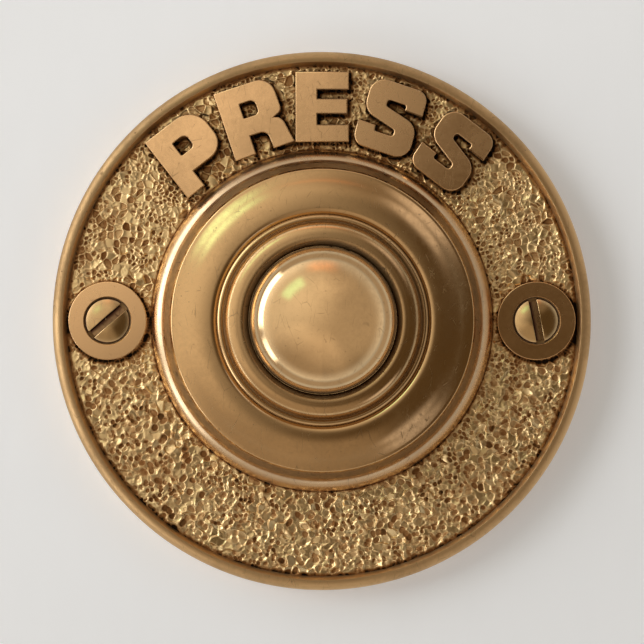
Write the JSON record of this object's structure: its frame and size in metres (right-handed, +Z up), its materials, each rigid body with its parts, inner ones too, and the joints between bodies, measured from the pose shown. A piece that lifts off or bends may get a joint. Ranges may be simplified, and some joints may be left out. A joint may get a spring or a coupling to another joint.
{
  "type": "doorbell push button",
  "caption": "Round cast brass doorbell push: a domed sprung button in a turned collar on a textured wall plate, with the bell switch behind it.",
  "frame": {"origin": "centre of the back face, where the plate meets the wall", "axes": "+Z up the wall, +Y into the wall, +X to the right of a person who faces the button"},
  "size_m": [0.076, 0.0391, 0.076],
  "materials": {
    "cast_brass": "aged satin, hammered ground",
    "turned_brass": "aged satin",
    "button_brass": "worn satin",
    "screw_brass": "worn satin",
    "terminal_brass": "bright turned",
    "contact_bronze": "rolled spring strip",
    "contact_point": "silver",
    "spring_steel": "drawn wire",
    "plated_steel": "plated",
    "base_moulding": "moulded",
    "tip_fibre": "fibre"
  },
  "bodies": {
    "root": {"face_plate": "cast_brass", "button_collar": "turned_brass", "collar_nut": "turned_brass", "return_spring": "spring_steel", "contact_base": "base_moulding", "moving_contact": "contact_bronze", "fixed_contact": "contact_bronze", "fixed_contact_point": "contact_point", "terminal_insert_left": "terminal_brass", "terminal_insert_right": "terminal_brass", "terminal_washer_left": "terminal_brass", "terminal_washer_right": "terminal_brass", "terminal_screw_left": "terminal_brass", "terminal_screw_right": "terminal_brass", "base_screw_upper": "plated_steel", "base_screw_lower": "plated_steel", "wall_screw_left": "screw_brass", "wall_screw_right": "screw_brass"},
    "button": {"push_button": "button_brass", "button_tip": "tip_fibre", "moving_contact_point": "contact_point"}
  },
  "joints": [
    {"name": "button_press", "type": "slide", "parent": "root", "child": "button", "axis": [0, 1, 0], "range_m": [0, 0.002], "stiffness_N_per_m": 500, "springref_m": -0.004, "deforming": ["return_spring", "moving_contact"]}
  ]
}
